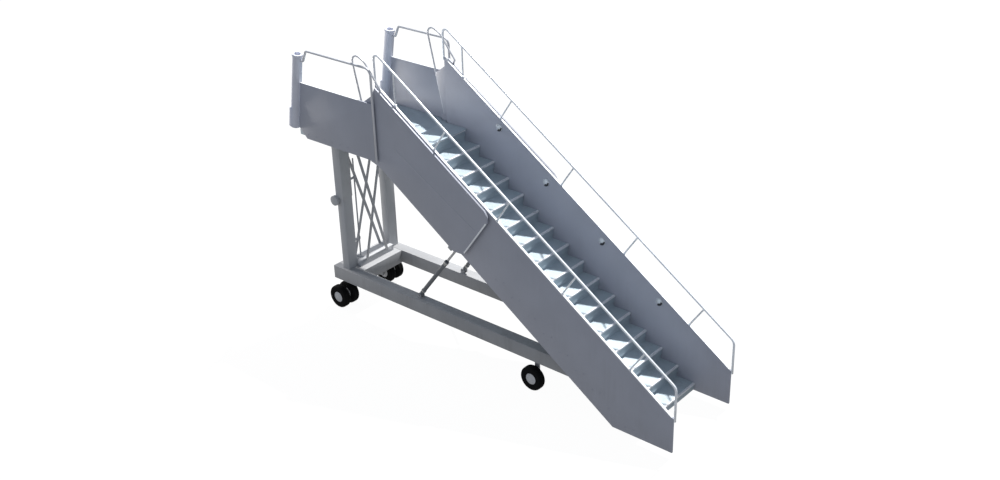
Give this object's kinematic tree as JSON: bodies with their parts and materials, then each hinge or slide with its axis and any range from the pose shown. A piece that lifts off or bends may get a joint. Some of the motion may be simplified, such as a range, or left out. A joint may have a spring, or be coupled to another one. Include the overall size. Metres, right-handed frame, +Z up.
{
  "type": "towable passenger boarding stairs",
  "caption": "Towable aircraft boarding stairs with a telescoping flight, handrails, a lifting platform with bumper posts, hydraulic rams and a wheeled chassis.",
  "frame": {"origin": "on the ground, under the middle of the machine's length and width", "axes": "+X runs forward along the chassis to the foot of the flight, +Y to the far side, +Z up"},
  "size_m": [7.3388, 1.896, 4.8111],
  "materials": {
    "panel_paint": "satin grey-blue paint on folded sheet",
    "tread_metal": "ribbed grip plate",
    "rail_metal": "bright brushed tube",
    "chassis_paint": "satin paint on box section",
    "mast_paint": "satin paint on box section",
    "ram_paint": "dark semi-gloss paint",
    "ram_rod": "hard chromed ground bar",
    "bumper_rubber": "matt grey rubber sleeve",
    "tyre_rubber": "solid black rubber",
    "wheel_paint": "light grey pressed disc"
  },
  "bodies": {
    "chassis": {"chassis_rail_near": "chassis_paint", "chassis_rail_far": "chassis_paint", "rear_cross_member": "chassis_paint", "front_yoke": "chassis_paint", "mast_column_near": "mast_paint", "mast_column_far": "mast_paint", "mast_base_brace": "mast_paint", "mast_header_brace": "mast_paint", "front_axle": "chassis_paint", "rear_axle": "chassis_paint"},
    "platform": {"deck": "tread_metal", "landing_plate": "tread_metal", "mast_sleeve_near": "mast_paint", "mast_sleeve_far": "mast_paint", "platform_wall_near": "panel_paint", "platform_wall_far": "panel_paint", "bumper_post_near": "bumper_rubber", "bumper_post_far": "bumper_rubber", "platform_rail_near": "rail_metal", "platform_rail_far": "rail_metal"},
    "lower_stair": {"stair_pivot_shaft": "ram_rod", "lower_side_panel_near": "panel_paint", "lower_side_panel_far": "panel_paint", "handrail_near": "rail_metal", "handrail_far": "rail_metal", "tread_01": "tread_metal", "tread_02": "tread_metal", "tread_03": "tread_metal", "tread_04": "tread_metal", "tread_05": "tread_metal", "tread_06": "tread_metal", "tread_07": "tread_metal", "tread_08": "tread_metal", "tread_09": "tread_metal", "tread_10": "tread_metal", "tread_11": "tread_metal", "tread_12": "tread_metal", "tread_13": "tread_metal", "tread_14": "tread_metal", "tread_15": "tread_metal", "tread_16": "tread_metal"},
    "upper_stair": {"upper_side_panel_near": "panel_paint", "upper_side_panel_far": "panel_paint", "upper_hoop_near": "rail_metal", "upper_hoop_far": "rail_metal", "carriage_beam": "mast_paint"},
    "ram_barrel_near": {"ram_barrel_near": "ram_paint"},
    "ram_barrel_far": {"ram_barrel_far": "ram_paint"},
    "ram_rod_near": {"ram_rod_near": "ram_rod"},
    "ram_rod_far": {"ram_rod_far": "ram_rod"},
    "front_wheel_near": {"front_tyre_near": "tyre_rubber", "front_wheel_near": "wheel_paint"},
    "front_wheel_far": {"front_tyre_far": "tyre_rubber", "front_wheel_far": "wheel_paint"},
    "rear_wheels_near": {"rear_tyre_near_inner": "tyre_rubber", "rear_tyre_near_outer": "tyre_rubber", "rear_twin_wheel_near": "wheel_paint"},
    "rear_wheels_far": {"rear_tyre_far_inner": "tyre_rubber", "rear_tyre_far_outer": "tyre_rubber", "rear_twin_wheel_far": "wheel_paint"}
  },
  "joints": [
    {"name": "platform_lift", "type": "slide", "parent": "chassis", "child": "platform", "axis": [0, 0, 1], "range_m": [0, 0.5]},
    {"name": "stair_pitch", "type": "hinge", "parent": "chassis", "child": "lower_stair", "pos_m": [2.642, 0, 0.25], "axis": [0, 1, 0], "range_deg": [-0.05, 4.27]},
    {"name": "stair_extend", "type": "slide", "parent": "lower_stair", "child": "upper_stair", "axis": [-0.8264, 0, 0.5631], "range_m": [-0.001, 0.2909]},
    {"name": "ram_swing_near", "type": "hinge", "parent": "chassis", "child": "ram_barrel_near", "pos_m": [-1.308, -0.52, 0.8], "axis": [0, -1, 0], "range_deg": [-0.05, 10.05]},
    {"name": "ram_stroke_near", "type": "slide", "parent": "ram_barrel_near", "child": "ram_rod_near", "axis": [0.611, 0, 0.7916], "range_m": [-0.001, 0.2888]},
    {"name": "ram_swing_far", "type": "hinge", "parent": "chassis", "child": "ram_barrel_far", "pos_m": [-1.308, 0.52, 0.8], "axis": [0, -1, 0], "range_deg": [-0.05, 10.05]},
    {"name": "ram_stroke_far", "type": "slide", "parent": "ram_barrel_far", "child": "ram_rod_far", "axis": [0.611, 0, 0.7916], "range_m": [-0.001, 0.2888]},
    {"name": "front_wheel_spin_near", "type": "hinge", "parent": "chassis", "child": "front_wheel_near", "pos_m": [1.038, -0.6, 0.2], "axis": [0, 1, 0], "continuous": true},
    {"name": "rear_wheel_spin_near", "type": "hinge", "parent": "chassis", "child": "rear_wheels_near", "pos_m": [-3.108, -0.52, 0.2], "axis": [0, 1, 0], "continuous": true},
    {"name": "front_wheel_spin_far", "type": "hinge", "parent": "chassis", "child": "front_wheel_far", "pos_m": [1.038, 0.6, 0.2], "axis": [0, 1, 0], "continuous": true},
    {"name": "rear_wheel_spin_far", "type": "hinge", "parent": "chassis", "child": "rear_wheels_far", "pos_m": [-3.108, 0.52, 0.2], "axis": [0, 1, 0], "continuous": true}
  ],
  "couplings": [
    {"joint": "stair_pitch", "follows": "platform_lift", "rad_per_m": 0.14731},
    {"joint": "stair_extend", "follows": "platform_lift", "ratio": 0.57988},
    {"joint": "ram_swing_near", "follows": "platform_lift", "rad_per_m": 0.34916},
    {"joint": "ram_stroke_near", "follows": "platform_lift", "ratio": 0.57551},
    {"joint": "ram_swing_far", "follows": "platform_lift", "rad_per_m": 0.34916},
    {"joint": "ram_stroke_far", "follows": "platform_lift", "ratio": 0.57551}
  ]
}
